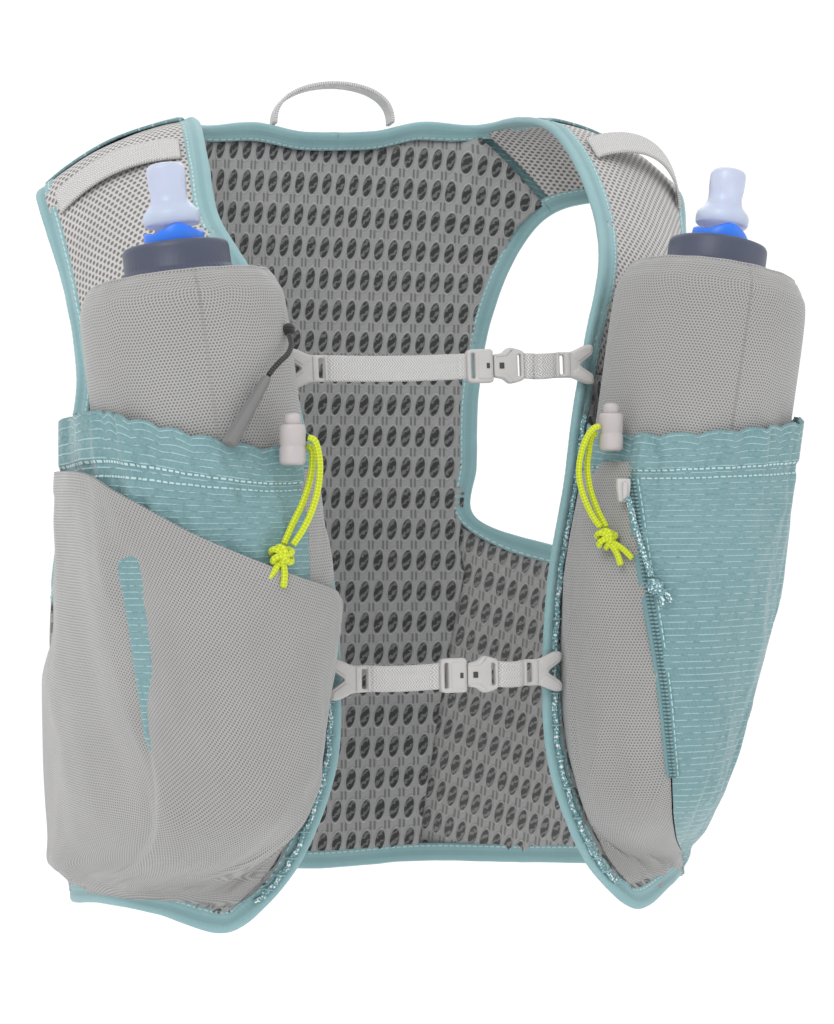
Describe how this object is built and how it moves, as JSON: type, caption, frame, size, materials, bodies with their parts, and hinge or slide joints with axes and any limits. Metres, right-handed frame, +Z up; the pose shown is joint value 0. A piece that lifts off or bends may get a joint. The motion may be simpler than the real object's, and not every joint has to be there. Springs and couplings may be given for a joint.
{
  "type": "running hydration vest",
  "caption": "Sleeveless mesh vest with a soft flask in each front pocket, two buckled chest straps, a back hang loop and toggled pocket hems.",
  "frame": {"origin": "midway between the shoulders, at the height where the straps rest on them", "axes": "+X to the viewer's right of the vest's front, +Y from the front to the back, +Z up"},
  "size_m": [0.3005, 0.2601, 0.3805],
  "materials": {
    "spacer_mesh": "knitted spacer mesh with rows of tall ovals",
    "strap_net": "open hexagon net",
    "stretch_mesh": "fine stretch mesh",
    "ripstop": "thin ripstop cloth with fine light lines",
    "binding": "folded stretch tape, stitched",
    "webbing": "narrow woven webbing",
    "fitting": "satin moulded plastic",
    "draw_cord": "round braided cord",
    "flecked_cord": "round braided cord with white flecks",
    "flask": "soft clear film",
    "cap": "moulded, ribbed rim",
    "collar": "moulded, clear blue",
    "valve": "translucent silicone",
    "black_cord": "round cord and a small ball",
    "grip": "moulded soft grip"
  },
  "bodies": {
    "vest": {"back_panel": "spacer_mesh", "side_panel_l": "spacer_mesh", "side_panel_r": "spacer_mesh", "front_panel_l": "spacer_mesh", "front_panel_r": "spacer_mesh", "strap_mesh_l": "strap_net", "strap_mesh_r": "strap_net", "flask_sleeve_l": "stretch_mesh", "flask_sleeve_r": "stretch_mesh", "stretch_pocket": "stretch_mesh", "stretch_gusset_l": "stretch_mesh", "stretch_gusset_r": "stretch_mesh", "back_shell": "ripstop", "bottle_pocket_l": "ripstop", "bottle_pocket_r": "ripstop", "zip_tape": "ripstop", "edge_binding": "binding", "armhole_binding_l": "binding", "armhole_binding_r": "binding", "webbing_upper_l": "webbing", "webbing_upper_r": "webbing", "webbing_lower_l": "webbing", "webbing_lower_r": "webbing", "hang_loop": "webbing", "shoulder_band_l": "webbing", "shoulder_band_r": "webbing", "strap_clip_upper_l": "fitting", "strap_clip_upper_r": "fitting", "strap_clip_lower_l": "fitting", "strap_clip_lower_r": "fitting", "buckle_frame_upper": "fitting", "buckle_frame_lower": "fitting", "buckle_plug_upper": "fitting", "buckle_plug_lower": "fitting", "cord_lock_l": "fitting", "cord_lock_r": "fitting", "zip_slider": "fitting", "draw_cord_l_front": "draw_cord", "draw_cord_l_rear": "draw_cord", "draw_cord_r_front": "draw_cord", "draw_cord_r_rear": "draw_cord", "draw_knot_l": "draw_cord", "draw_knot_r": "draw_cord", "edge_cord_l": "flecked_cord", "edge_cord_r": "flecked_cord", "zip_cord": "flecked_cord", "zip_knot": "flecked_cord", "flask_body_l": "flask", "flask_body_r": "flask", "flask_cap_l": "cap", "flask_cap_r": "cap", "valve_collar_l": "collar", "valve_collar_r": "collar", "bite_valve_l": "valve", "bite_valve_r": "valve", "pull_cord": "black_cord", "pull_ball": "black_cord", "pull_grip": "grip"},
    "lock_button_l": {"lock_button_l": "fitting"},
    "lock_button_r": {"lock_button_r": "fitting"}
  },
  "joints": [
    {"name": "lock_button_l_press", "type": "slide", "parent": "vest", "child": "lock_button_l", "axis": [0, 0, 1], "range_m": [-0.003, 0], "stiffness_N_per_m": 200, "springref_m": 0.001},
    {"name": "lock_button_r_press", "type": "slide", "parent": "vest", "child": "lock_button_r", "axis": [0, 0, 1], "range_m": [-0.003, 0], "stiffness_N_per_m": 200, "springref_m": 0.001}
  ]
}
